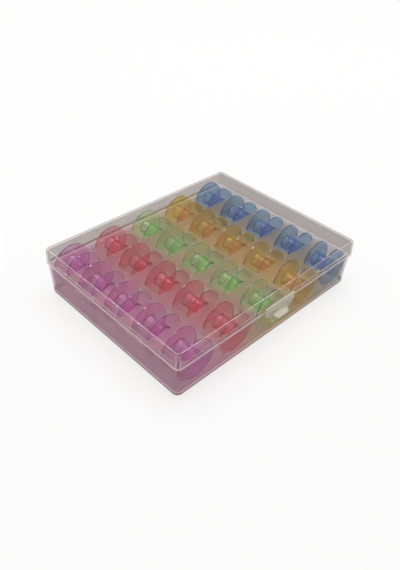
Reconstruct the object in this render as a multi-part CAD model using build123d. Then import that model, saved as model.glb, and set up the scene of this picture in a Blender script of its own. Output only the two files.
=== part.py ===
from build123d import *
import math
import os

# Storage box for 25 sewing-machine bobbins: a hinged case moulded in polypropylene, a well
# insert and the bobbins. Millimetres, +Z up. The origin is on the table, under the middle of
# the lid: X runs along the case, -Y is the latch side and +Y the hinge side.

# Bobbins: five colours along X, five bobbins of each colour along Y, axes along Y
colours = ["purple", "pink", "green", "amber", "blue"]
places = 5                    # bobbins of one colour, place 1 next to the hinge
bobbin_diameter = 20.3
bobbin_width = 11.0
flange_thickness = 0.9
hub_diameter = 8.2
bore_diameter = 6.1           # fits the 6 mm spindle of a bobbin winder
thread_hole_diameter = 2.1
thread_hole_offset = 7.1      # from the bobbin's axis
row_gap = 4.3                 # between the flange rims of two colours
place_gap = 9.5               # between the end faces of two bobbins of one colour

# Well insert
well_radial_clearance = 0.55
well_end_clearance = 0.35
well_mouth_chamfer = 0.5
bobbin_seat_gap = 0.15        # under a bobbin
insert_wall = 0.7
deck_thickness = 0.8
deck_rise = 2.5               # deck above the bobbins' axes
insert_edge_x = 1.08          # deck beyond the outer wells
insert_edge_y = 0.88
insert_underspace = 1.8       # between the wells and the tray's floor
insert_fit = 0.1              # to the tray's walls
insert_foot_gap = 0.05        # to the tray's floor

# Tray
tray_floor = 1.5
tray_wall = 1.3
wall_lean = 0.04              # walls lean in by this much per millimetre of depth
shoulder_rise = 1.4           # shoulder above the insert's deck
lip_height = 1.8
lip_thickness = 0.6
tray_setback = 0.3            # tray's middle behind the lid's middle
tray_corner_radius = 3.0
tray_bottom_edge_radius = 1.2
rest_rib_length = 17.0        # short ribs under the lid's rim, on the short sides
rest_rib_height = 0.8
rest_rib_proud = 0.5
rest_rib_spacing = 37.0
rest_rib_drop = 1.2           # from the shoulder to the rib's top

# Lid
parting_gap = 0.2
lid_fit = 0.15                # skirt to lip
lid_wall = 1.0
lid_top_thickness = 1.2
lid_headroom = 1.75           # above the bobbins
lid_flare = 0.33              # rim beyond the top, each side
lid_corner_radius = 2.4
lid_edge_radius = 0.9

# Latch, in the middle of the -Y side but for a small offset
latch_offset_x = 1.9
latch_width = 20.8
latch_pad_height = 2.8        # frosted pad on the skirt
latch_pad_proud = 0.8
latch_drop = 4.8              # tab below the rim
latch_thickness = 1.05
latch_corner_radius = 1.6
thumb_lip_width = 9.4
thumb_lip_depth = 2.5
thumb_lip_thickness = 0.9
catch_width = 12.0
catch_height = 0.8
catch_proud = 0.5
catch_drop = 1.8              # from the shoulder to the catch's top
hook_height = 0.8
hook_proud = 0.43
hook_gap = 0.2                # under the catch

# Hinge: a thin web folded round the hinge line
hinge_standoff = 0.22         # hinge line behind the lid's rim
hinge_web_inner_radius = 0.2
hinge_web_thickness = 0.4
hinge_end_margin = 3.4        # web's ends to the lid's ends

# Places worked out from the sizes above
rows = len(colours)
row_pitch = bobbin_diameter + row_gap
place_pitch = bobbin_width + place_gap
bobbin_radius = bobbin_diameter / 2
well_radius = bobbin_radius + well_radial_clearance
well_half_length = bobbin_width / 2 + well_end_clearance
axis_z = tray_floor + insert_underspace + insert_wall + bobbin_seat_gap + bobbin_radius
well_axis_z = axis_z + well_radial_clearance - bobbin_seat_gap
deck_z = axis_z + deck_rise
shoulder_z = deck_z + shoulder_rise
rim_z = shoulder_z + parting_gap
lid_inside_z = axis_z + bobbin_radius + lid_headroom
lid_top_z = lid_inside_z + lid_top_thickness

insert_half_x = (rows - 1) / 2 * row_pitch + well_radius + insert_edge_x
insert_half_y = (places - 1) / 2 * place_pitch + well_half_length + insert_edge_y
tray_inner_half_x = insert_half_x + insert_fit + wall_lean * shoulder_rise
tray_inner_half_y = insert_half_y + insert_fit + wall_lean * shoulder_rise
tray_half_x = tray_inner_half_x + tray_wall
tray_half_y = tray_inner_half_y + tray_wall
skirt_inner_half_x = tray_inner_half_x + lip_thickness + lid_fit
skirt_inner_half_y = tray_inner_half_y + lip_thickness + lid_fit
rim_half_x = skirt_inner_half_x + lid_wall
rim_half_y = skirt_inner_half_y + lid_wall
lid_lean = lid_flare / (lid_top_z - rim_z)
hinge_y = rim_half_y + hinge_standoff
hinge_z = (shoulder_z + rim_z) / 2
tray_inner_corner = tray_corner_radius - tray_wall


def leaning_block(half_x, half_y, corner_radius, z_wide, z_narrow, lean):
    """Rounded rectangle at z_wide, drawn in by lean per millimetre on its way to z_narrow."""
    outline = Plane.XY.offset(z_wide) * RectangleRounded(2 * half_x, 2 * half_y, corner_radius)
    rise = z_narrow - z_wide
    return extrude(outline, amount=rise, taper=math.degrees(math.atan(lean)))


def box_between(low, high):
    """Box from its lowest to its highest corner."""
    size = [b - a for a, b in zip(low, high)]
    middle = [(a + b) / 2 for a, b in zip(low, high)]
    return Pos(*middle) * Box(*size)


def tray_front_y(z):
    """Outer face of the tray's latch side at a height below the shoulder."""
    return tray_setback - tray_half_y + wall_lean * (shoulder_z - z)


def bobbin_places():
    """Every bobbin's colour, its place from the hinge and its centre."""
    for row, colour in enumerate(colours):
        for place in range(places):
            x = (row - (rows - 1) / 2) * row_pitch
            y = tray_setback + ((places - 1) / 2 - place) * place_pitch
            yield colour, place + 1, (x, y)


def thread_hole_pose(row, place):
    """Angle of a bobbin's thread hole from +X, and which end face carries it."""
    seen = {
        ("purple", 1): (86, 1), ("purple", 3): (122, 1), ("pink", 4): (40, 1),
        ("green", 4): (37, 1), ("blue", 3): (48, -1), ("blue", 4): (43, 1), ("blue", 5): (40, -1),
    }
    colour = colours[row]
    down_in_the_well = 190 + (53 * row + 37 * place) % 160
    end = 1 if (row + place) % 2 else -1
    return seen.get((colour, place), (down_in_the_well, end))


def bobbin(hole_angle, hole_end):
    """One bobbin about the Y axis: two flat flanges on a tube, a thread hole in one flange."""
    half = bobbin_width / 2
    inside = half - flange_thickness
    bore = bore_diameter / 2
    hub = hub_diameter / 2
    with_flange = [(bore, half), (bobbin_radius, half), (bobbin_radius, inside), (hub, inside)]
    mirrored = [(radius, -y) for radius, y in reversed(with_flange)]
    profile = make_face(Polyline(*with_flange, *mirrored, close=True))
    body = revolve(profile, axis=Axis.Y)
    angle = math.radians(hole_angle)
    hole_x = thread_hole_offset * math.cos(angle)
    hole_z = thread_hole_offset * math.sin(angle)
    hole_y = hole_end * (half - flange_thickness / 2)
    drill = Rot(90, 0, 0) * Cylinder(thread_hole_diameter / 2, 2 * flange_thickness)
    return body - Pos(hole_x, hole_y, hole_z) * drill


def well_profile(radius, top_z):
    """U shape in the XZ plane: a half round under straight sides."""
    rise = top_z - well_axis_z
    outline = [
        Line((-radius, rise), (-radius, 0)),
        RadiusArc((-radius, 0), (radius, 0), -radius),
        Line((radius, 0), (radius, rise)),
        Line((radius, rise), (-radius, rise)),
    ]
    return make_face(outline)


def well_body(radius, half_length, top_z):
    """The U shape drawn along Y, centred on the bobbin's place."""
    section = Plane.XZ * well_profile(radius, top_z)
    return Pos(0, 0, well_axis_z) * extrude(section, amount=half_length, both=True)


def well_mouth():
    """Cutter for the 45 degree bevel that leads a bobbin in, drawn past the deck and the well."""
    overlap = 0.05
    half_x = well_radius + well_mouth_chamfer + overlap
    half_y = well_half_length + well_mouth_chamfer + overlap
    bottom = deck_z - well_mouth_chamfer - overlap
    block = box_between((-half_x, -half_y, bottom), (half_x, half_y, deck_z + 1))
    return chamfer(block.edges().group_by(Axis.Z)[0], well_mouth_chamfer + 2 * overlap)


def make_insert():
    """Deck with 25 wells hanging from it, standing on its own outer wall."""
    foot_z = tray_floor + insert_foot_gap
    under_deck_z = deck_z - deck_thickness
    wall_under_deck = insert_wall + wall_lean * deck_thickness
    corner = tray_inner_corner - insert_fit
    middle = Pos(0, tray_setback, 0)
    sites = [Pos(x, y, 0) for _, _, (x, y) in bobbin_places()]
    block = leaning_block(insert_half_x, insert_half_y, corner, deck_z, foot_z, wall_lean)

    # the space under the deck, with its corners cut across, less the wells' own walls
    inside = Rectangle(
        2 * (insert_half_x - wall_under_deck), 2 * (insert_half_y - wall_under_deck)
    )
    inside = Plane.XY.offset(under_deck_z) * chamfer(inside.vertices(), corner - insert_wall)
    underspace = extrude(
        inside, amount=foot_z - under_deck_z, taper=math.degrees(math.atan(wall_lean))
    )
    well_walls = well_body(well_radius + insert_wall, well_half_length + insert_wall, deck_z)
    underspace = middle * underspace - [site * well_walls for site in sites]

    shell = middle * block - underspace
    well_space = well_body(well_radius, well_half_length, deck_z + 1)
    shell -= [site * well_space for site in sites]
    mouth = well_mouth()
    return shell - [site * mouth for site in sites]


def make_tray():
    """Tapered tray with a stepped rim: a shoulder under the lid and a lip inside its skirt."""
    body = leaning_block(tray_half_x, tray_half_y, tray_corner_radius, shoulder_z, 0, wall_lean)
    body = fillet(body.edges().group_by(Axis.Z)[0], tray_bottom_edge_radius)
    inner = leaning_block(
        tray_inner_half_x, tray_inner_half_y, tray_inner_corner,
        shoulder_z, tray_floor, wall_lean,
    )
    lip_corner = lid_corner_radius - lid_wall - lid_fit
    lip_outline = RectangleRounded(
        2 * (skirt_inner_half_x - lid_fit), 2 * (skirt_inner_half_y - lid_fit), lip_corner
    )
    opening = Pos(0, tray_setback) * RectangleRounded(
        2 * tray_inner_half_x, 2 * tray_inner_half_y, tray_inner_corner
    )
    # the lip runs round three sides and stops short of the hinge
    hinge_side = Pos(0, tray_inner_half_y) * Rectangle(400, 4 * tray_corner_radius)
    lip = extrude(
        Plane.XY.offset(shoulder_z) * (lip_outline - opening - hinge_side), amount=lip_height
    )
    body = Pos(0, tray_setback, 0) * (body - inner) + lip
    return body + [rest_rib(side, end) for side in (-1, 1) for end in (-1, 1)] + latch_catch()


def rest_rib(side, end):
    """Short rib on a short side of the tray, just below the lid's rim."""
    top = shoulder_z - rest_rib_drop
    middle_y = tray_setback + end * rest_rib_spacing / 2
    wall_x = tray_half_x - wall_lean * (shoulder_z - top + rest_rib_height / 2)
    outline = Pos(side * wall_x, middle_y) * SlotOverall(
        rest_rib_length, 2 * rest_rib_proud, rotation=90
    )
    return extrude(Plane.XY.offset(top) * outline, amount=-rest_rib_height)


def latch_catch():
    """Rib on the tray's latch side that the tab's hook snaps under."""
    top = shoulder_z - catch_drop
    base_y = tray_front_y(top - catch_height)
    face_y = tray_front_y(top) - catch_proud
    bar = box_between(
        (latch_offset_x - catch_width / 2, face_y, top - catch_height),
        (latch_offset_x + catch_width / 2, base_y + tray_wall / 2, top),
    )
    # sloped top, so that the hook rides over it
    return chamfer(bar.edges().filter_by(Axis.X).group_by(Axis.Y)[0].sort_by(Axis.Z)[-1],
                   catch_height / 2)


def make_lid():
    """Clear cover with a skirt that flares a little towards its rim."""
    outer = leaning_block(rim_half_x, rim_half_y, lid_corner_radius, rim_z, lid_top_z, lid_lean)
    outer = fillet(outer.edges().group_by(Axis.Z)[-1], lid_edge_radius)
    inner = leaning_block(
        skirt_inner_half_x, skirt_inner_half_y, lid_corner_radius - lid_wall,
        rim_z, lid_inside_z, lid_lean,
    )
    return outer - inner


def latch_face_y():
    """Outer face of the latch pad and tab."""
    return -(rim_half_y + latch_pad_proud)


def make_latch_pad(lid):
    """Frosted pad on the skirt, flush with the tab below it."""
    half = latch_width / 2
    block = box_between(
        (latch_offset_x - half, latch_face_y(), rim_z),
        (latch_offset_x + half, -skirt_inner_half_y, rim_z + latch_pad_height),
    )
    upright = block.edges().filter_by(Axis.Z).group_by(Axis.Y)[0]
    return chamfer(upright, latch_pad_proud / 2) - lid


def make_latch_tab():
    """Springy tab below the rim, with a thumb lip outside and a hook inside."""
    outer_y = latch_face_y()
    inner_y = outer_y + latch_thickness
    bottom_z = rim_z - latch_drop
    plate = box_between(
        (latch_offset_x - latch_width / 2, outer_y, bottom_z),
        (latch_offset_x + latch_width / 2, inner_y, rim_z),
    )
    plate = fillet(plate.edges().filter_by(Axis.Y).group_by(Axis.Z)[0], latch_corner_radius)
    thumb = box_between(
        (latch_offset_x - thumb_lip_width / 2, outer_y - thumb_lip_depth, bottom_z),
        (latch_offset_x + thumb_lip_width / 2, outer_y, bottom_z + thumb_lip_thickness),
    )
    thumb = fillet(thumb.edges().filter_by(Axis.Z).group_by(Axis.Y)[0], latch_corner_radius)
    hook_top = shoulder_z - catch_drop - catch_height - hook_gap
    hook = box_between(
        (latch_offset_x - catch_width / 2, inner_y, hook_top - hook_height),
        (latch_offset_x + catch_width / 2, inner_y + hook_proud, hook_top),
    )
    return plate + thumb + hook


def make_hinge_web(tray, lid):
    """Living hinge: a thin band folded round the hinge line, with a leaf on each part."""
    inner = hinge_web_inner_radius
    outer = inner + hinge_web_thickness
    band = Circle(outer) - Circle(inner) - Pos(-outer, 0) * Rectangle(2 * outer, 4 * outer)
    reach = hinge_y - rim_half_y + lid_wall / 2
    leaf_middle = inner + hinge_web_thickness / 2
    leaves = [
        Pos(-reach / 2, side * leaf_middle) * Rectangle(reach, hinge_web_thickness)
        for side in (-1, 1)
    ]
    section = Plane.YZ * Pos(hinge_y, hinge_z) * (band + leaves)
    web = extrude(section, amount=rim_half_x - hinge_end_margin, both=True)
    return web - tray - lid


os.makedirs("parts", exist_ok=True)
tray = make_tray()
lid = make_lid()
solids = {
    "base_tray": tray,
    "bobbin_insert": make_insert(),
    "lid": lid,
    "latch_pad": make_latch_pad(lid),
    "latch_tab": make_latch_tab(),
    "hinge_web": make_hinge_web(tray, lid),
}
for colour, place, (x, y) in bobbin_places():
    hole_angle, hole_end = thread_hole_pose(colours.index(colour), place)
    solids[f"bobbin_{colour}_{place}"] = Pos(x, y, axis_z) * bobbin(hole_angle, hole_end)
for name, solid in solids.items():
    export_step(solid, f"parts/{name}.step")
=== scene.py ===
import bmesh
import bpy
import math
from mathutils import Matrix, Vector


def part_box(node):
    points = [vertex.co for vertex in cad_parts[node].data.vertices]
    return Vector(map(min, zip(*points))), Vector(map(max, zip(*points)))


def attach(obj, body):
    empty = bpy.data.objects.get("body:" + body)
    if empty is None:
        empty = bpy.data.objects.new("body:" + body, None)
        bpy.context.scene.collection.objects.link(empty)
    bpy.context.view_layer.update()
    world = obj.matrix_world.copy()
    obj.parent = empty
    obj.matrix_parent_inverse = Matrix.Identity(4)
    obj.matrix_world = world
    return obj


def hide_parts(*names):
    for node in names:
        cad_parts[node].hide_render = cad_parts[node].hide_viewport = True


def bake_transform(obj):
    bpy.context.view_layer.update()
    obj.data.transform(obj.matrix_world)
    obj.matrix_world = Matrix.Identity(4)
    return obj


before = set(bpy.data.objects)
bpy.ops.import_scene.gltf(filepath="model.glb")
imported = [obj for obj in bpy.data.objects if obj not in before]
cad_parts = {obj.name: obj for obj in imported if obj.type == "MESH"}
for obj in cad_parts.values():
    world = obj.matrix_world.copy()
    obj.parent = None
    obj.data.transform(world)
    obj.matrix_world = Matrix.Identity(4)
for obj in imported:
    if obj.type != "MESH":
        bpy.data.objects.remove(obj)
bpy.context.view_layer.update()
MM = 0.001


# ---- Base tray -------------------------------------------------------------------------------
# Lower half of the case: a thin shell injection moulded in unpigmented polypropylene, matt from
# the tool. Its walls lean in towards the floor. A lip on three sides keeps the lid's skirt in
# line, and short ribs on the short sides sit just under the lid's rim.
tray_middle_y = 0.3 * MM       # the lid's middle is at 0
tray_half_x = 62.436 * MM      # at the shoulder
tray_half_y = 49.186 * MM
tray_corner_radius = 3.0 * MM
tray_bottom_radius = 1.2 * MM
tray_floor = 1.5 * MM
wall_lean = 0.04
foot_strip = 2.3 * MM          # height of the strip of painted shade round the floor
shoulder_z = 18.2 * MM
tray_wall = 1.3 * MM
lip_thickness = 0.6 * MM
lip_height = 1.8 * MM
lip_corner_radius = 1.25 * MM
lip_end_y = 41.9 * MM
rest_rib_length = 17.0 * MM
rest_rib_height = 0.8 * MM
rest_rib_proud = 0.5 * MM
rest_rib_spacing = 37.0 * MM
rest_rib_drop = 1.2 * MM       # from the shoulder
rest_rib_end_radius = 0.8 * MM
catch_width = 12.0 * MM
catch_height = 0.8 * MM
catch_proud = 0.5 * MM
catch_drop = 1.8 * MM          # from the shoulder
latch_middle_x = 1.9 * MM
tray_softness = 0.12 * MM      # rounding of its sharp edges


def add_block(name, low, high):
    """A cube stretched between two corners, left in edit mode with its place in its mesh."""
    bpy.ops.object.select_all(action="DESELECT")
    low = Vector(low)
    high = Vector(high)
    bpy.ops.mesh.primitive_cube_add(size=1, location=(low + high) / 2, scale=high - low)
    return open_piece(name)


def open_piece(name):
    """Names the new primitive, puts its place in its mesh and opens it in edit mode."""
    piece = bpy.context.object
    piece.name = name
    piece.data.name = name
    bpy.ops.object.transform_apply(location=True, rotation=True, scale=True)
    bpy.ops.object.mode_set(mode="EDIT")
    return piece


def pick(kind, test):
    """Selects the verts, edges or faces whose middle passes test(middle, element)."""
    bpy.ops.mesh.select_mode(type={"verts": "VERT", "edges": "EDGE", "faces": "FACE"}[kind])
    bpy.ops.mesh.select_all(action="DESELECT")
    shape = bmesh.from_edit_mesh(bpy.context.object.data)
    shape.normal_update()
    for element in getattr(shape, kind):
        corners = [element] if kind == "verts" else element.verts
        middle = sum((corner.co for corner in corners), Vector()) / len(corners)
        if test(middle, element):
            element.select_set(True)
    bmesh.update_edit_mesh(bpy.context.object.data)


def near(a, b, margin=0.01 * MM):
    return abs(a - b) < margin


def flat_edge(edge, z):
    """True for an edge that lies at height z."""
    return all(near(corner.co.z, z) for corner in edge.verts)


def upright_edge(edge):
    """True for an edge that climbs a wall at a corner."""
    run = edge.verts[0].co - edge.verts[1].co
    return abs(run.z) > 0.9 * run.length


def draw_in(by, half_x, half_y, middle_y=0.0):
    """Moves what is selected towards the middle by the same distance on every side."""
    factors = (1 - by / half_x, 1 - by / half_y, 1)
    bpy.ops.transform.resize(value=factors, center_override=(0, middle_y, 0))


def extrude_by(x, y, z):
    bpy.ops.mesh.extrude_region_move(TRANSFORM_OT_translate={"value": (x, y, z)})


def select_only(piece):
    bpy.ops.object.select_all(action="DESELECT")
    piece.select_set(True)
    bpy.context.view_layer.objects.active = piece


def apply_modifier(piece, kind, **settings):
    select_only(piece)
    modifier = piece.modifiers.new(kind.title(), kind)
    for name, value in settings.items():
        setattr(modifier, name, value)
    bpy.ops.object.modifier_apply(modifier=modifier.name)


def combine(piece, other, how):
    """Unites a piece with another solid, or cuts that solid out of it."""
    apply_modifier(piece, "BOOLEAN", object=other, operation=how, solver="EXACT")
    bpy.data.objects.remove(other)


def soften(piece, radius, segments=2):
    """Rounds every sharp edge, as no moulded edge is knife sharp."""
    sharp_angle = 35
    apply_modifier(
        piece, "BEVEL", width=radius, segments=segments, limit_method="ANGLE",
        angle_limit=math.radians(sharp_angle), harden_normals=False,
    )


def dress(piece, material):
    """Gives a finished piece its material, smooth rounds and truly flat flats."""
    smooth_angle = 40
    piece.data.materials.clear()
    piece.data.materials.append(material)
    select_only(piece)
    bpy.ops.object.shade_smooth_by_angle(angle=math.radians(smooth_angle))
    apply_modifier(piece, "WEIGHTED_NORMAL", keep_sharp=True, weight=100)


def join_body(piece, body, nodes):
    """The piece stands for its CAD nodes and moves with their body."""
    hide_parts(*nodes)
    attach(piece, body)


def mark_faces(piece, name, test):
    """Keeps what test(middle, normal) gives for each face, 0 to 1, for the material to read."""
    mark = piece.data.attributes.new(name=name, type="FLOAT", domain="FACE")
    for face in piece.data.polygons:
        mark.data[face.index].value = float(test(face.center, face.normal))


def start_material(name):
    """A material with an empty node tree, and that tree."""
    material = bpy.data.materials.new(name)
    material.use_nodes = True
    material.node_tree.nodes.clear()
    return material, material.node_tree


def add_node(tree, kind, values=None, links=None):
    """A shader node with values on its sockets, and with other nodes' outputs linked to them."""
    node = tree.nodes.new("ShaderNode" + kind)
    for socket, value in (values or {}).items():
        node.inputs[socket].default_value = value
    for socket, source in (links or {}).items():
        tree.links.new(source, node.inputs[socket])
    return node


def fill(tree, socket, content):
    """Puts a number or a tint on a socket, or links another node's output to it."""
    if isinstance(content, bpy.types.NodeSocket):
        tree.links.new(content, socket)
    else:
        socket.default_value = content


def add_math(tree, operation, first, second):
    """What an operation makes of two values; each is a number or another node's output."""
    result = add_node(tree, "Math")
    result.operation = operation
    fill(tree, result.inputs[0], first)
    fill(tree, result.inputs[1], second)
    return result.outputs["Value"]


def add_noise(tree, scale, detail=2):
    """Noise that stays where it is on the piece, in waves per metre."""
    place = add_node(tree, "TexCoord")
    noise = add_node(
        tree, "TexNoise", {"Scale": scale, "Detail": detail}, {"Vector": place.outputs["Object"]}
    )
    return noise.outputs["Fac"]


def add_bump(tree, height, strength, depth):
    bump = add_node(tree, "Bump", {"Strength": strength, "Distance": depth}, {"Height": height})
    return bump.outputs["Normal"]


def read_mark(tree, name):
    """What mark_faces kept under this name."""
    mark = add_node(tree, "Attribute")
    mark.attribute_name = name
    return mark.outputs["Fac"]


def remap(tree, source, low, high):
    """Stretches a value between 0 and 1 over low to high."""
    spread = add_node(tree, "MapRange", {"To Min": low, "To Max": high}, {"Value": source})
    return spread.outputs["Result"]


def mix_tints(tree, share, first, second):
    """The first tint where share is 0 and the second where it is 1; each may be an output."""
    mix = add_node(tree, "Mix")
    mix.data_type = "RGBA"
    fill(tree, mix.inputs["Factor"], share)
    for socket, tint in (("A", first), ("B", second)):
        fill(tree, mix.inputs[socket], (*tint, 1) if isinstance(tint, tuple) else tint)
    return mix.outputs["Result"]


def scale_tint(tree, tint, by):
    """A tint made lighter or darker by another node's output."""
    scaled = add_node(tree, "VectorMath")
    scaled.operation = "SCALE"
    fill(tree, scaled.inputs[0], tint)
    fill(tree, scaled.inputs["Scale"], by)
    return scaled.outputs["Vector"]


def let_lamps_through(tree, shader, tint):
    """Light that goes on through the plastic to what is inside, in place of a black shadow."""
    path = add_node(tree, "LightPath")
    clear = add_node(tree, "BsdfTransparent", {"Color": (*one_surface(tint), 1)})
    mix = add_node(tree, "MixShader", links={
        "Fac": path.outputs["Is Shadow Ray"], 1: shader.outputs[0], 2: clear.outputs[0],
    })
    add_node(tree, "OutputMaterial", links={"Surface": mix.outputs[0]})


def one_surface(tint):
    """Share of each colour that one of a wall's two surfaces lets by."""
    return [math.sqrt(channel) for channel in tint]


def frosted_plastic(
    name, tints_and_bleed_across, span, clearness, roughness, grain, plain_tint=None, plain_clearness=None
):
    """Milky polypropylene: a little light is scattered, the rest goes through blurred.
    The tints across run from the -X end to the +X end of the span; on the tray and the insert
    they are the plastic's own tint with a painted colour bleed, the coloured light of the bobbin
    rows, over it. Faces marked "plain" have a tint and a clearness of their own, which on the
    tray's foot is a painted shade, and faces marked "thin" blur and tint less."""
    thin_tint = (0.97, 0.95, 0.96)
    thin_blur = 0.4
    material, tree = start_material(name)
    thin = read_mark(tree, "thin")

    # shades along the length: on the tray and insert, painted colour bleed from the bobbin rows
    place = add_node(tree, "TexCoord")
    axes = add_node(tree, "SeparateXYZ", links={"Vector": place.outputs["Object"]})
    along = add_node(
        tree, "MapRange", {"From Min": -span, "From Max": span}, {"Value": axes.outputs["X"]}
    )
    shades = add_node(tree, "ValToRGB", links={"Fac": along.outputs["Result"]})
    ramp = shades.color_ramp.elements
    last = len(tints_and_bleed_across) - 1
    for step in range(1, last):
        ramp.new(step / last)
    for step, tint in enumerate(tints_and_bleed_across):
        ramp[step].position = step / last
        ramp[step].color = (*tint, 1)
    shade = shades.outputs["Color"]
    if plain_tint:
        plain = read_mark(tree, "plain")
        shade = mix_tints(tree, plain, shade, plain_tint)
        clearness = remap(tree, plain, clearness, plain_clearness)
    shade = mix_tints(tree, thin, shade, thin_tint)

    # slow clouds in the wall's milkiness and sheen, from the melt's flow
    clouds = add_noise(tree, 45, 3)
    milky = scale_tint(tree, shade, remap(tree, clouds, 0.94, 1))
    sheen = remap(tree, clouds, 0.85 * roughness, 1.15 * roughness)
    blur = add_math(tree, "MULTIPLY", sheen, remap(tree, thin, 1, thin_blur))

    # the tool's fine spark finish
    pits = add_bump(tree, add_noise(tree, 1600), grain, 0.05 * MM)

    # light bends far less than in real plastic, so what is behind many walls stays in its place
    shader = add_node(
        tree, "BsdfPrincipled", {"IOR": 1.07, "Coat Weight": 0.08, "Coat Roughness": 0.2},
        {"Base Color": milky, "Roughness": blur, "Normal": pits},
    )
    fill(tree, shader.inputs["Transmission Weight"], clearness)
    let_lamps_through(tree, shader, tints_and_bleed_across[len(tints_and_bleed_across) // 2])
    return material


def add_leaning_block(name, half_x, half_y, middle_y, corner, wide_z, narrow_z, lean):
    """A block with rounded uprights, drawn in by its walls' lean on the way to narrow_z."""
    low = (-half_x, middle_y - half_y, min(wide_z, narrow_z))
    high = (half_x, middle_y + half_y, max(wide_z, narrow_z))
    piece = add_block(name, low, high)
    pick("verts", lambda middle, vert: near(middle.z, narrow_z))
    draw_in(lean * abs(wide_z - narrow_z), half_x, half_y, middle_y)
    pick("edges", lambda middle, edge: upright_edge(edge))
    bpy.ops.mesh.bevel(offset=corner, segments=8)
    return piece


def cut_across(point, normal):
    bpy.ops.mesh.select_all(action="SELECT")
    bpy.ops.mesh.bisect(plane_co=point, plane_no=normal)


def make_tray():
    tray = add_leaning_block(
        "tray_shell", tray_half_x, tray_half_y, tray_middle_y, tray_corner_radius,
        shoulder_z, 0, wall_lean,
    )
    pick("edges", lambda middle, edge: flat_edge(edge, 0))
    bpy.ops.mesh.bevel(offset=tray_bottom_radius, segments=6)
    cut_across((0, 0, foot_strip), (0, 0, 1))
    pick("faces", lambda middle, face: face.normal.z > 0.9)
    bpy.ops.mesh.inset(thickness=tray_wall)
    extrude_by(0, 0, tray_floor - shoulder_z)
    draw_in(
        wall_lean * (shoulder_z - tray_floor), tray_half_x - tray_wall, tray_half_y - tray_wall,
        tray_middle_y,
    )
    bpy.ops.object.mode_set(mode="OBJECT")
    return tray


def make_lip():
    """Ring that stands on the tray's wall inside the lid's skirt, open towards the hinge."""
    inner_x = tray_half_x - tray_wall
    inner_y = tray_half_y - tray_wall
    foot_z = shoulder_z - lip_thickness / 2
    top_z = shoulder_z + lip_height
    lip = add_leaning_block(
        "lip", inner_x + lip_thickness, inner_y + lip_thickness, 0, lip_corner_radius,
        top_z, foot_z, 0,
    )
    bpy.ops.object.mode_set(mode="OBJECT")
    opening = add_leaning_block(
        "opening", inner_x, inner_y, tray_middle_y, tray_corner_radius - tray_wall,
        top_z + tray_wall, foot_z - tray_wall, 0,
    )
    bpy.ops.object.mode_set(mode="OBJECT")
    combine(lip, opening, "DIFFERENCE")
    hinge_side = add_block(
        "hinge_side", (-tray_half_x, lip_end_y, foot_z - tray_wall),
        (tray_half_x, 2 * tray_half_y, top_z + tray_wall),
    )
    bpy.ops.object.mode_set(mode="OBJECT")
    combine(lip, hinge_side, "DIFFERENCE")
    return lip


def make_rest_rib(side, end):
    top = shoulder_z - rest_rib_drop
    wall_x = tray_half_x - wall_lean * (rest_rib_drop + rest_rib_height / 2)
    middle_y = tray_middle_y + end * rest_rib_spacing / 2
    outer = side * (wall_x + rest_rib_proud)
    inner = side * (wall_x - rest_rib_proud)
    low = (min(outer, inner), middle_y - rest_rib_length / 2, top - rest_rib_height)
    high = (max(outer, inner), middle_y + rest_rib_length / 2, top)
    rib = add_block("rest_rib", low, high)
    pick("edges", lambda middle, edge: upright_edge(edge) and near(middle.x, outer))
    bpy.ops.mesh.bevel(offset=rest_rib_end_radius, segments=5)
    bpy.ops.object.mode_set(mode="OBJECT")
    return rib


def make_catch():
    top = shoulder_z - catch_drop
    wall_y = tray_middle_y - tray_half_y + wall_lean * catch_drop
    low = (latch_middle_x - catch_width / 2, wall_y - catch_proud, top - catch_height)
    high = (latch_middle_x + catch_width / 2, wall_y + catch_proud, top)
    catch = add_block("catch", low, high)
    pick("edges", lambda middle, edge: flat_edge(edge, top) and near(middle.y, low[1]))
    bpy.ops.mesh.bevel(offset=catch_height / 2, segments=1)
    bpy.ops.object.mode_set(mode="OBJECT")
    return catch


def on_the_foot(middle, normal):
    """The strip beside the floor, which gets a painted shade for the light that has the full depth
    of the corner to cross.
    """
    return middle.z < foot_strip and abs(normal.z) < 0.9


def on_lip_or_rib(middle, normal):
    """What stands out of the tray's wall, where the light would cross one wall more."""
    margin = 0.1 * MM
    return middle.z > shoulder_z - margin or abs(middle.x) > tray_half_x + margin


tray = make_tray()
combine(tray, make_lip(), "UNION")
for side in (-1, 1):
    for end in (-1, 1):
        combine(tray, make_rest_rib(side, end), "UNION")
combine(tray, make_catch(), "UNION")
soften(tray, tray_softness)
# the plastic's own tint with painted colour bleed from the bobbin rows, from -X to +X
tray_tints_and_bleed = (
    (0.66, 0.52, 0.59), (0.70, 0.51, 0.60), (0.70, 0.56, 0.50),
    (0.64, 0.58, 0.42), (0.62, 0.56, 0.48), (0.64, 0.64, 0.67),
)
# painted shade along the tray's foot, darker than the walls
tray_foot_painted_shade = (0.17, 0.10, 0.12)
tray_plastic = frosted_plastic(
    "tray_frosted", tray_tints_and_bleed, tray_half_x, clearness=0.97, roughness=0.1, grain=0.03,
    plain_tint=tray_foot_painted_shade, plain_clearness=0.97,
)
# the plain mark on the tray: the painted shade on the foot
mark_faces(tray, "plain", on_the_foot)
mark_faces(tray, "thin", on_lip_or_rib)
dress(tray, tray_plastic)
join_body(tray, "case", ["base_tray"])


# ---- Well insert -----------------------------------------------------------------------------
# One thin moulding that drops into the tray: a flat deck with 25 U-shaped wells hanging from it,
# each with a bevelled mouth, and a skirt that stands on the tray's floor. Translucent, satin.
rows = 5
places = 5
row_pitch = 24.6 * MM
place_pitch = 20.5 * MM
deck_z = 16.8 * MM
well_radius = 10.7 * MM
well_half_length = 5.85 * MM
well_axis_z = 14.7 * MM
well_mouth = 0.5 * MM
well_corner_radius = 0.5 * MM
deck_thickness = 0.8 * MM
deck_edge_radius = 0.15 * MM
insert_half_x = 60.98 * MM
insert_half_y = 47.73 * MM
insert_corner_radius = 1.6 * MM
insert_wall = 0.7 * MM
insert_foot_z = 1.55 * MM


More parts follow.
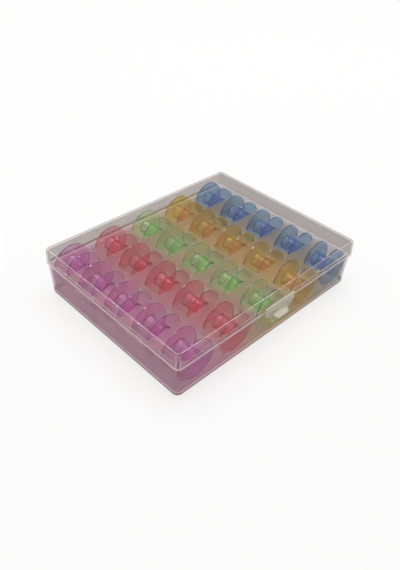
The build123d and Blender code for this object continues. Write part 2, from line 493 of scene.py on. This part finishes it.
def make_wells(name, radius, half_length, corner, top_z):
    """The 25 U-shaped bodies of the wells: each a half round under straight sides."""
    first_x = -(rows - 1) / 2 * row_pitch
    first_y = tray_middle_y - (places - 1) / 2 * place_pitch
    bpy.ops.object.select_all(action="DESELECT")
    bpy.ops.mesh.primitive_cylinder_add(
        vertices=56, radius=radius, depth=2 * half_length,
        location=(first_x, first_y, well_axis_z), rotation=(math.pi / 2, 0, 0),
    )
    wells = open_piece(name)
    bpy.ops.mesh.select_all(action="SELECT")
    bpy.ops.mesh.bisect(
        plane_co=(0, 0, well_axis_z), plane_no=(0, 0, 1), clear_outer=True, use_fill=True
    )
    pick("faces", lambda middle, face: abs(face.normal.z) > 0.9 and near(middle.z, well_axis_z))
    extrude_by(0, 0, top_z - well_axis_z)

    def on_end(middle, edge):
        return near(abs(middle.y - first_y), half_length) and not flat_edge(edge, top_z)

    if corner:
        pick("edges", on_end)
        bpy.ops.mesh.bevel(offset=corner, segments=3)
    bpy.ops.mesh.select_all(action="SELECT")
    bpy.ops.mesh.normals_make_consistent(inside=False)
    bpy.ops.object.mode_set(mode="OBJECT")
    for count, step in ((rows, (row_pitch, 0, 0)), (places, (0, place_pitch, 0))):
        apply_modifier(
            wells, "ARRAY", count=count, use_relative_offset=False, use_constant_offset=True,
            constant_offset_displace=step,
        )
    return wells


def make_insert():
    insert = add_leaning_block(
        "well_deck", insert_half_x, insert_half_y, tray_middle_y, insert_corner_radius,
        deck_z, insert_foot_z, wall_lean,
    )
    # lines across the deck through the middle of every well, so that no face has a hole in it
    for row in range(rows):
        cut_across(((row - (rows - 1) / 2) * row_pitch, 0, 0), (1, 0, 0))
    for place in range(places):
        cut_across((0, tray_middle_y + (place - (places - 1) / 2) * place_pitch, 0), (0, 1, 0))
    bpy.ops.object.mode_set(mode="OBJECT")

    # the space under the deck, round the wells' own walls
    under_z = deck_z - deck_thickness
    wall_there = insert_wall + wall_lean * deck_thickness
    underspace = add_leaning_block(
        "underspace", insert_half_x - wall_there, insert_half_y - wall_there, tray_middle_y,
        insert_corner_radius - insert_wall, under_z, insert_foot_z - insert_wall, wall_lean,
    )
    bpy.ops.object.mode_set(mode="OBJECT")
    walls = make_wells(
        "well_walls", well_radius + insert_wall, well_half_length + insert_wall, 0, deck_z
    )
    combine(underspace, walls, "DIFFERENCE")
    combine(insert, underspace, "DIFFERENCE")
    spaces = make_wells(
        "well_spaces", well_radius, well_half_length, well_corner_radius, deck_z + insert_wall
    )
    combine(insert, spaces, "DIFFERENCE")

    # bevelled mouths, and the deck's softened outline
    def round_a_well(middle, edge):
        inside_x = abs(middle.x) < insert_half_x - insert_wall
        inside_y = abs(middle.y - tray_middle_y) < insert_half_y - insert_wall / 2
        return flat_edge(edge, deck_z) and inside_x and inside_y

    def on_outline(middle, edge):
        outer_x = abs(middle.x) > insert_half_x - insert_wall / 4
        outer_y = abs(middle.y - tray_middle_y) > insert_half_y - insert_wall / 4
        return flat_edge(edge, deck_z) and (outer_x or outer_y)

    bpy.context.view_layer.objects.active = insert
    bpy.ops.object.mode_set(mode="EDIT")
    pick("edges", round_a_well)
    bpy.ops.mesh.bevel(offset=well_mouth, segments=1)
    pick("edges", on_outline)
    bpy.ops.mesh.bevel(offset=deck_edge_radius, segments=3)
    bpy.ops.object.mode_set(mode="OBJECT")
    return insert


def on_walls(middle, normal):
    """The wells and the skirt, below the deck's sheet."""
    return middle.z < deck_z - 1.1 * deck_thickness or abs(normal.z) < 0.6


def on_front(middle, normal):
    """The skirt's long side that lies against the nearest bobbins."""
    return middle.y < 1.5 * insert_wall - insert_half_y and abs(normal.y) > 0.8


insert = make_insert()
# the plastic's own tint with painted colour bleed from the bobbin rows, from -X to +X
insert_tints_and_bleed = (
    (0.86, 0.58, 0.71), (0.80, 0.51, 0.63), (0.78, 0.54, 0.54),
    (0.79, 0.71, 0.51), (0.72, 0.57, 0.35), (0.72, 0.70, 0.69),
)
insert_wall_tint = (0.95, 0.93, 0.92)
insert_plastic = frosted_plastic(
    "insert_satin", insert_tints_and_bleed, insert_half_x, clearness=0.88, roughness=0.32, grain=0.1,
    plain_tint=insert_wall_tint, plain_clearness=0.95,
)
mark_faces(insert, "plain", on_walls)
mark_faces(insert, "thin", on_front)
dress(insert, insert_plastic)
join_body(insert, "case", ["bobbin_insert"])


# ---- Bobbins ---------------------------------------------------------------------------------
# Twenty-five empty bobbins, five in each colour. Each is moulded in one piece in clear tinted
# plastic: two flat flanges on a tubular hub that fits a 6 mm spindle, and one thread hole.
bobbin_radius = 10.15 * MM
bobbin_half_width = 5.5 * MM
flange_thickness = 0.9 * MM
hub_radius = 4.1 * MM
bore_radius = 3.05 * MM
thread_hole_radius = 1.05 * MM
thread_hole_offset = 7.1 * MM
bobbin_softness = 0.16 * MM
dyes = {    # tints of the flanges, of the hub, and of the rims and the hub's ends
    "purple": ((0.94, 0.57, 0.87), (0.80, 0.40, 0.76), (0.42, 0.11, 0.52)),
    "pink": ((1.0, 0.49, 0.60), (0.88, 0.20, 0.32), (0.57, 0.08, 0.12)),
    "green": ((0.79, 0.99, 0.67), (0.56, 0.84, 0.45), (0.16, 0.60, 0.36)),
    "amber": ((0.95, 0.74, 0.15), (0.88, 0.62, 0.07), (0.57, 0.32, 0.01)),
    "blue": ((0.35, 0.61, 0.91), (0.14, 0.37, 0.76), (0.02, 0.09, 0.50)),
}


def on_rim(middle, normal):
    rim_depth = 0.2 * MM
    return math.hypot(middle.x, middle.z) > bobbin_radius - rim_depth and abs(normal.y) < 0.9


def on_hub(middle, normal):
    inside = bobbin_half_width - flange_thickness
    return near(math.hypot(middle.x, middle.z), hub_radius, 0.1 * MM) and abs(middle.y) < inside


def on_hub_end(middle, normal):
    wall = bore_radius < math.hypot(middle.x, middle.z) < hub_radius
    return wall and abs(normal.y) > 0.9


def on_deep_part(middle, normal):
    """The flanges' rims, and the hub's wall where it is looked along."""
    return on_rim(middle, normal) or on_hub_end(middle, normal)


def make_bobbin():
    """One bobbin about the Y axis, with its thread hole on +X in the +Y flange."""
    bpy.ops.object.select_all(action="DESELECT")
    bpy.ops.mesh.primitive_cylinder_add(
        vertices=72, radius=bobbin_radius, depth=2 * bobbin_half_width,
        rotation=(math.pi / 2, 0, 0),
    )
    piece = open_piece("bobbin")
    inside = bobbin_half_width - flange_thickness
    for side in (-1, 1):
        bpy.ops.mesh.select_all(action="SELECT")
        bpy.ops.mesh.bisect(plane_co=(0, side * inside, 0), plane_no=(0, 1, 0))

    # waist between the flanges, then the bore
    pick("faces", lambda middle, face: abs(middle.y) < inside / 2 and abs(face.normal.y) < 0.1)
    bpy.ops.mesh.extrude_region_shrink_fatten(
        TRANSFORM_OT_shrink_fatten={"value": hub_radius - bobbin_radius}
    )
    pick("faces", lambda middle, face: len(face.verts) > 4)
    bpy.ops.mesh.inset(thickness=bobbin_radius - hub_radius)
    bpy.ops.mesh.inset(thickness=hub_radius - bore_radius)
    bpy.ops.mesh.bridge_edge_loops()
    bpy.ops.object.mode_set(mode="OBJECT")

    drill_y = bobbin_half_width - flange_thickness / 2
    bpy.ops.mesh.primitive_cylinder_add(
        vertices=24, radius=thread_hole_radius, depth=2 * flange_thickness,
        location=(thread_hole_offset, drill_y, 0), rotation=(math.pi / 2, 0, 0),
    )
    combine(piece, bpy.context.object, "DIFFERENCE")
    soften(piece, bobbin_softness, segments=3)
    mark_faces(piece, "deep", on_deep_part)
    mark_faces(piece, "hub", on_hub)
    return piece


def tinted_plastic(name, tint, hub_tint, deep_tint):
    """Clear plastic dyed through: pale where thin, deep on the hub and along the rims."""
    material, tree = start_material(name)
    hub = read_mark(tree, "hub")
    flanges = mix_tints(tree, read_mark(tree, "deep"), tint, deep_tint)
    ripple = add_noise(tree, 260)
    shader = add_node(
        tree, "BsdfPrincipled", {"IOR": 1.1, "Coat Weight": 0.5, "Coat Roughness": 0.08}, {
            "Base Color": mix_tints(tree, hub, flanges, hub_tint),
            "Transmission Weight": remap(tree, hub, 1, 0.88),
            "Roughness": remap(tree, ripple, 0.02, 0.07),
            "Normal": add_bump(tree, ripple, 0.12, 0.1 * MM),
        },
    )
    let_lamps_through(tree, shader, tint)
    return material


def thread_hole_turn(node):
    """Angle of a CAD bobbin's thread hole about +Y, the side its flange is on, and the middle
    of the bobbin."""
    low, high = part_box(node)
    centre = (low + high) / 2
    points = [vert.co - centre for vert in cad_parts[node].data.vertices]
    hole = [p for p in points if 1.2 * hub_radius < math.hypot(p.x, p.z) < 0.9 * bobbin_radius]
    middle = sum(hole, Vector()) / len(hole)
    return math.atan2(middle.z, middle.x), math.copysign(1, middle.y), centre


pattern = make_bobbin()
for colour, tints in dyes.items():
    plastic = tinted_plastic(f"{colour}_dyed", *tints)
    for place in range(1, places + 1):
        node = f"bobbin_{colour}_{place}"
        angle, flange, centre = thread_hole_turn(node)
        bobbin = pattern.copy()
        bobbin.data = pattern.data.copy()
        bobbin.name = f"{colour}_bobbin_{place}"
        bobbin.data.name = bobbin.name
        bpy.context.collection.objects.link(bobbin)
        turn = Matrix.Rotation(-angle, 4, "Y")
        if flange < 0:
            turn = turn @ Matrix.Rotation(math.pi, 4, "X")
        bobbin.data.transform(Matrix.Translation(centre) @ turn)
        dress(bobbin, plastic)
        join_body(bobbin, node, [node])
bpy.data.objects.remove(pattern)


# ---- Lid -------------------------------------------------------------------------------------
# Clear cover with a skirt that reaches down over the tray's lip and flares a little to its rim.
# Polished polypropylene with a slight haze and rounded top edges, painted highlights and shade.
rim_half_x = 62.886 * MM
rim_half_y = 49.636 * MM
rim_z = 18.4 * MM
lid_top_z = 27.4 * MM
lid_inside_z = 26.2 * MM
lid_flare = 0.33 * MM
lid_wall = 1.0 * MM
lid_corner_radius = 2.4 * MM
lid_edge_radius = 0.9 * MM
lid_inner_edge_radius = 0.4 * MM
lid_rim_strip = 0.3 * MM       # height of the strip of painted highlight at the skirt's foot
lid_softness = 0.15 * MM
lid_side_share = 0.97          # of the half width; a face beyond it is on that side
# share of the painted shade on the skirt beside the hinge
hinge_side_shade = 0.4


def make_lid():
    lean = lid_flare / (lid_top_z - rim_z)
    lid = add_leaning_block(
        "lid_cover", rim_half_x, rim_half_y, 0, lid_corner_radius, rim_z, lid_top_z, lean
    )
    pick("edges", lambda middle, edge: flat_edge(edge, lid_top_z))
    bpy.ops.mesh.bevel(offset=lid_edge_radius, segments=5)

    pick("faces", lambda middle, face: face.normal.z < -0.9)
    bpy.ops.mesh.inset(thickness=lid_wall)
    extrude_by(0, 0, lid_inside_z - rim_z)
    draw_in(lean * (lid_inside_z - rim_z), rim_half_x - lid_wall, rim_half_y - lid_wall)
    pick("edges", lambda middle, edge: flat_edge(edge, lid_inside_z))
    bpy.ops.mesh.bevel(offset=lid_inner_edge_radius, segments=3)
    cut_across((0, 0, rim_z + lid_rim_strip), (0, 0, 1))
    bpy.ops.object.mode_set(mode="OBJECT")
    return lid


def hazy_clear_plastic():
    """Polished clear polypropylene, smeared by handling, with painted edge highlights and shade."""
    material, tree = start_material("lid_clear")
    # the edge mark: pale, less clear painted highlights on the lid's front and -X edges
    edge_highlight = read_mark(tree, "edge")
    smears = add_noise(tree, 70, 5)
    smoky = scale_tint(tree, (0.70, 0.66, 0.635), remap(tree, smears, 0.93, 1.03))
    highlighted_tint = mix_tints(tree, edge_highlight, smoky, (0.86, 0.78, 0.80))
    # a painted shade: a darker tint on the skirt at the +X end and beside the hinge
    shaded_tint = mix_tints(tree, read_mark(tree, "painted_far_shade"), highlighted_tint, (0.55, 0.53, 0.53))
    shader = add_node(
        tree, "BsdfPrincipled",
        {"IOR": 1.06, "Roughness": 0, "Coat Weight": 0.3, "Coat Roughness": 0.08},
        {"Base Color": shaded_tint, "Transmission Weight": remap(tree, edge_highlight, 0.985, 0.5)},
    )
    let_lamps_through(tree, shader, (0.86, 0.84, 0.83))
    return material


def painted_edge_highlight(middle, normal):
    """1 where a pale highlight is painted on the front and the -X end: the skirt's foot, and the
    outer facets of the rounded upright corners and of the top edge, told by how far they have
    turned."""
    at_front = middle.y < -lid_side_share * rim_half_y
    at_end = middle.x < -lid_side_share * rim_half_x
    if not (at_front or at_end):
        return 0
    if middle.z < rim_z + lid_rim_strip:
        return 1
    if middle.z < lid_top_z - lid_edge_radius:
        return 0.25 < min(abs(normal.x), abs(normal.y)) < 0.4
    return 0.1 < normal.z < 0.25 or 0.96 < normal.z < 0.995


def painted_skirt_shade(middle, normal):
    """How much painted shade darkens the skirt: all of it at the +X end, a little beside the hinge.
    """
    if middle.x > lid_side_share * rim_half_x:
        return 1
    return hinge_side_shade if middle.y > lid_side_share * rim_half_y else 0


lid = make_lid()
soften(lid, lid_softness, segments=3)
# edge: painted highlights on the front and the -X end
mark_faces(lid, "edge", painted_edge_highlight)
# painted shade on the skirt at the +X end and beside the hinge
mark_faces(lid, "painted_far_shade", painted_skirt_shade)
dress(lid, hazy_clear_plastic())
join_body(lid, "lid", ["lid"])


# ---- Latch -----------------------------------------------------------------------------------
# A frosted pad moulded on the middle of the lid's front skirt, and the springy tab that hangs
# from it. The tab has a thumb lip outside and a hook inside, which snaps under the tray's catch.
latch_width = 20.8 * MM
latch_face_y = -50.436 * MM
latch_pad_top_z = 21.2 * MM
latch_tab_bottom_z = 13.6 * MM
latch_thickness = 1.05 * MM
pad_corner_radius = 0.4 * MM
pad_softness = 0.2 * MM
tab_softness = 0.16 * MM
latch_foot_radius = 1.12 * MM
thumb_lip_width = 9.4 * MM
thumb_lip_depth = 2.5 * MM
thumb_lip_thickness = 0.9 * MM
thumb_lip_root = 2.1 * MM
thumb_lip_radius = 1.6 * MM
latch_side_drop = 1.9 * MM
latch_foot_width = 12.6 * MM
hook_height = 0.8 * MM
hook_proud = 0.43 * MM
hook_top_z = 15.4 * MM


def make_latch_pad():
    """The pad's back follows the skirt, a hair off it."""
    skirt_gap = 0.02 * MM
    lean = lid_flare * (latch_pad_top_z - rim_z) / (lid_top_z - rim_z)
    low = (latch_middle_x - latch_width / 2, latch_face_y, rim_z)
    high = (latch_middle_x + latch_width / 2, -rim_half_y - skirt_gap, latch_pad_top_z)
    pad = add_block("latch_pad_frosted", low, high)
    pick("verts", lambda m, vert: near(m.z, latch_pad_top_z) and near(m.y, high[1]))
    bpy.ops.transform.translate(value=(0, lean, 0))
    pick("edges", lambda m, edge: upright_edge(edge) and near(m.y, low[1]))
    bpy.ops.mesh.bevel(offset=pad_corner_radius, segments=3)
    bpy.ops.object.mode_set(mode="OBJECT")
    return pad


def make_thumb_lip():
    """The ledge for the thumb, thicker at its root, which lies inside the tab."""
    root_z = latch_tab_bottom_z + thumb_lip_thickness
    edge_y = latch_face_y - thumb_lip_depth
    lip = add_block(
        "thumb_lip", (latch_middle_x - thumb_lip_width / 2, edge_y, latch_tab_bottom_z),
        (latch_middle_x + thumb_lip_width / 2, latch_face_y + latch_thickness / 3, root_z),
    )
    pick("verts", lambda m, vert: near(m.z, root_z) and m.y > latch_face_y)
    bpy.ops.transform.translate(value=(0, 0, thumb_lip_root - thumb_lip_thickness))
    pick("edges", lambda m, edge: upright_edge(edge) and near(m.y, edge_y))
    bpy.ops.mesh.bevel(offset=thumb_lip_radius, segments=6)
    bpy.ops.object.mode_set(mode="OBJECT")
    return lip


def make_hook(inner_y):
    """The ridge on the tab's inner face that snaps under the catch."""
    low = (latch_middle_x - catch_width / 2, inner_y - latch_thickness / 2, hook_top_z - hook_height)
    high = (latch_middle_x + catch_width / 2, inner_y + hook_proud, hook_top_z)
    hook = add_block("hook", low, high)
    bpy.ops.object.mode_set(mode="OBJECT")
    return hook


def make_latch_tab():
    inner_y = latch_face_y + latch_thickness
    low = (latch_middle_x - latch_width / 2, latch_face_y, latch_tab_bottom_z)
    high = (latch_middle_x + latch_width / 2, inner_y, rim_z)
    tab = add_block("latch_tab_frosted", low, high)

    # sides that slant in below a short straight run, to a rounded foot
    cut_across((0, 0, rim_z - latch_side_drop), (0, 0, 1))
    pick("verts", lambda m, vert: near(m.z, latch_tab_bottom_z))
    bpy.ops.transform.resize(
        value=(latch_foot_width / latch_width, 1, 1), center_override=(latch_middle_x, 0, 0)
    )

    def runs_through(m, edge):
        outer = abs(m.x - latch_middle_x) > latch_foot_width / 2 - 0.01 * MM
        return outer and near(m.y, latch_face_y + latch_thickness / 2) and not near(m.z, rim_z)

    pick("edges", runs_through)
    bpy.ops.mesh.bevel(offset=latch_foot_radius, segments=4)
    bpy.ops.object.mode_set(mode="OBJECT")
    combine(tab, make_thumb_lip(), "UNION")
    combine(tab, make_hook(inner_y), "UNION")

    # slivers where the solids met, which would spoil the softened edges
    bpy.ops.object.mode_set(mode="EDIT")
    bpy.ops.mesh.select_all(action="SELECT")
    bpy.ops.mesh.remove_doubles(threshold=0.02 * MM)
    bpy.ops.mesh.dissolve_limited(angle_limit=math.radians(1))
    bpy.ops.object.mode_set(mode="OBJECT")
    return tab


latch_tints = ((0.81, 0.78, 0.70), (0.85, 0.82, 0.74))
latch_plastic = frosted_plastic(
    "latch_frosted", latch_tints, latch_width, clearness=0.55, roughness=0.4, grain=0.4
)
pad = make_latch_pad()
soften(pad, pad_softness)
dress(pad, latch_plastic)
join_body(pad, "lid", ["latch_pad"])
tab = make_latch_tab()
soften(tab, tab_softness)
dress(tab, latch_plastic)
join_body(tab, "latch", ["latch_tab"])


# ---- Living hinge ----------------------------------------------------------------------------
# A thin web of the same polypropylene along the back, moulded with the case and folded round the
# hinge line. It is the only thing that holds the lid to the tray.
hinge_y = 49.856 * MM
hinge_z = 18.3 * MM
web_middle_radius = 0.4 * MM
web_thickness = 0.38 * MM
web_half_length = 59.4 * MM
web_leaf = 0.38 * MM


def make_hinge_web():
    """A leaf under the hinge line, the fold behind it, and a leaf above it."""
    middle_z = hinge_z - web_middle_radius
    web = add_block(
        "living_hinge",
        (-web_half_length, hinge_y - web_leaf, middle_z - web_thickness / 2),
        (web_half_length, hinge_y, middle_z + web_thickness / 2),
    )
    pick("faces", lambda middle, face: face.normal.y > 0.9)
    bpy.ops.mesh.spin(steps=10, angle=math.pi, center=(0, hinge_y, hinge_z), axis=(-1, 0, 0))
    extrude_by(0, -web_leaf, 0)
    bpy.ops.mesh.select_all(action="SELECT")
    bpy.ops.mesh.remove_doubles(threshold=0.001 * MM)
    bpy.ops.mesh.normals_make_consistent(inside=False)
    bpy.ops.object.mode_set(mode="OBJECT")
    return web


web = make_hinge_web()
dress(web, tray_plastic)
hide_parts("hinge_web")
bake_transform(web)


# ---- Table, light and camera -----------------------------------------------------------------
# A plain white table that keeps a soft shadow, a wide lamp overhead with a weaker one beside it,
# and a strip that puts glints on the bobbins' hubs and bright lines on the lid's edges.
table_radius = 3
table_drop = 0.02 * MM


def seen_by_eye(tree):
    """1 for a ray from the camera, straight or by way of gloss or clear plastic; 0 for the light
    that matt surfaces gather."""
    path = add_node(tree, "LightPath")
    seen = path.outputs["Is Camera Ray"]
    for kind in ("Is Glossy Ray", "Is Transmission Ray"):
        seen = add_math(tree, "MAXIMUM", seen, path.outputs[kind])
    return seen


def make_table():
    """White where it is looked at, also through the box, and a weak light for matt surfaces."""
    bpy.ops.object.select_all(action="DESELECT")
    bpy.ops.mesh.primitive_circle_add(vertices=64, radius=table_radius, fill_type="NGON")
    table = bpy.context.object
    table.name = "table"
    bpy.ops.transform.translate(value=(0, 0, -table_drop))
    bpy.ops.object.transform_apply(location=True)
    material, tree = start_material("white_table")
    matt = add_node(tree, "BsdfDiffuse", {"Color": (0.24, 0.24, 0.24, 1)})
    glow = add_node(tree, "Emission", {"Strength": 0.70})
    both = add_node(tree, "AddShader", links={0: matt.outputs[0], 1: glow.outputs[0]})
    lit = add_node(
        tree, "MixShader", links={"Fac": seen_by_eye(tree), 1: matt.outputs[0], 2: both.outputs[0]}
    )
    add_node(tree, "OutputMaterial", links={"Surface": lit.outputs[0]})
    table.data.materials.append(material)


def make_world():
    """White where it is looked at, and a soft light from all sides otherwise."""
    world = bpy.data.worlds.new("studio")
    bpy.context.scene.world = world
    world.use_nodes = True
    tree = world.node_tree
    tree.nodes.clear()
    soft = add_node(tree, "Background", {"Color": (1, 0.98, 0.97, 1), "Strength": 0.55})
    white = add_node(tree, "Background", {"Color": (1, 1, 1, 1), "Strength": 1})
    mix = add_node(
        tree, "MixShader", links={"Fac": seen_by_eye(tree), 1: soft.outputs[0], 2: white.outputs[0]}
    )
    add_node(tree, "OutputWorld", links={"Surface": mix.outputs[0]})


def add_lamp(name, place, aim, width, length, power):
    """A soft rectangular lamp at a place, turned to a point."""
    lamp = bpy.data.lights.new(name, "AREA")
    lamp.shape = "RECTANGLE"
    lamp.size = width
    lamp.size_y = length
    lamp.energy = power
    holder = bpy.data.objects.new(name, lamp)
    bpy.context.collection.objects.link(holder)
    holder.location = place
    holder.rotation_euler = (Vector(aim) - Vector(place)).to_track_quat("-Z", "Y").to_euler()
    return holder


def add_glint_lamp():
    """A strip that only gloss shows: light that a matt surface sends on never finds it."""
    holder = add_lamp("glint", (0.1, 0.8, 1.2), (0, 0, 0), width=0.14, length=0.9, power=25)
    holder.visible_diffuse = False
    holder.data.use_nodes = True
    tree = holder.data.node_tree
    path = add_node(tree, "LightPath")
    straight = add_math(tree, "LESS_THAN", path.outputs["Diffuse Depth"], 0.5)
    tree.links.new(straight, tree.nodes["Emission"].inputs["Strength"])


def add_camera():
    place = Vector((-171.04, -164.74, 194.72)) * MM
    aim = Vector((-12.66, -10.9, 14.12)) * MM
    roll = math.radians(2.97)
    camera = bpy.data.cameras.new("camera")
    camera.sensor_width = 36
    camera.lens = 36.05
    camera.clip_start = 0.01
    holder = bpy.data.objects.new("camera", camera)
    bpy.context.collection.objects.link(holder)
    facing = (aim - place).to_track_quat("-Z", "Y").to_matrix().to_4x4()
    holder.matrix_world = Matrix.Translation(place) @ facing @ Matrix.Rotation(roll, 4, "Z")
    bpy.context.scene.camera = holder


# light crosses the lid, flanges, hub, insert and tray: more walls than the usual limits allow
cycles = bpy.context.scene.cycles
cycles.max_bounces = 40
cycles.transmission_bounces = 36
cycles.glossy_bounces = 24
cycles.diffuse_bounces = 8
cycles.transparent_max_bounces = 40

make_table()
make_world()
add_lamp("overhead", (0, 0.35, 1.3), (0, 0.35, 0), width=1.3, length=1.3, power=12)
add_lamp("side", (0.85, -0.1, 1.25), (0.85, -0.1, 0), width=0.5, length=0.9, power=5)
add_glint_lamp()
add_camera()
bpy.context.scene.view_settings.view_transform = "Standard"
